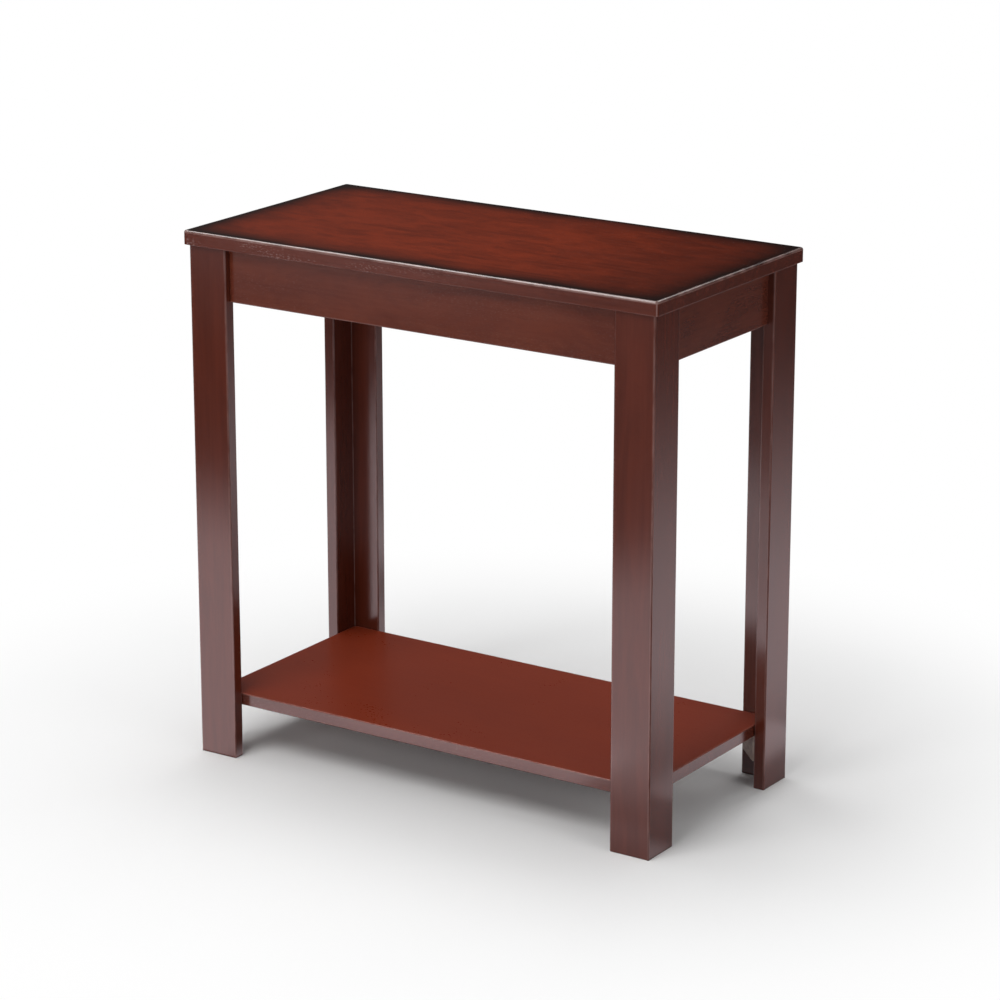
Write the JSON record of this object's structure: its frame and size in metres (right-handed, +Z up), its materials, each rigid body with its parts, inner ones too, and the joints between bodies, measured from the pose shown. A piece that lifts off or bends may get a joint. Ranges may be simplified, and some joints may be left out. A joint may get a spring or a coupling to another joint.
{
  "type": "end table with shelf",
  "caption": "Narrow rectangular end table in dark stained wood, with recessed aprons, L-section legs and a low open shelf to stand things on.",
  "frame": {"origin": "on the floor, below the middle of the tabletop", "axes": "+Z up, +X along the length towards the right leg pair, front of the table towards -Y"},
  "size_m": [0.61, 0.305, 0.61],
  "materials": {
    "stained_top": "red-brown stain, dark burnished edges, satin lacquer",
    "stained_frame": "dark red-brown stain, satin lacquer",
    "stained_shelf": "red-brown stain, satin lacquer",
    "bare_block": "bare wood with a thin overspray",
    "beech_dowel": "bare beech",
    "zinc_steel": "zinc-plated steel"
  },
  "bodies": {
    "root": {"tabletop_panel": "stained_top", "shelf_panel": "stained_shelf", "apron_front": "stained_frame", "apron_rear": "stained_frame", "apron_left": "stained_frame", "apron_right": "stained_frame", "leg_front_left_face_board": "stained_frame", "leg_front_left_side_board": "stained_frame", "leg_front_right_face_board": "stained_frame", "leg_front_right_side_board": "stained_frame", "leg_rear_left_face_board": "stained_frame", "leg_rear_left_side_board": "stained_frame", "leg_rear_right_face_board": "stained_frame", "leg_rear_right_side_board": "stained_frame", "apron_block_front_left": "bare_block", "shelf_block_front_left": "bare_block", "apron_block_front_right": "bare_block", "shelf_block_front_right": "bare_block", "apron_block_rear_left": "bare_block", "shelf_block_rear_left": "bare_block", "apron_block_rear_right": "bare_block", "shelf_block_rear_right": "bare_block", "leg_bolts": "zinc_steel", "leg_bolt_flat_washers": "zinc_steel", "leg_bolt_spring_washers": "zinc_steel", "leg_threaded_inserts": "zinc_steel", "tabletop_screws": "zinc_steel", "shelf_screws": "zinc_steel", "apron_dowels": "beech_dowel"}
  },
  "joints": []
}
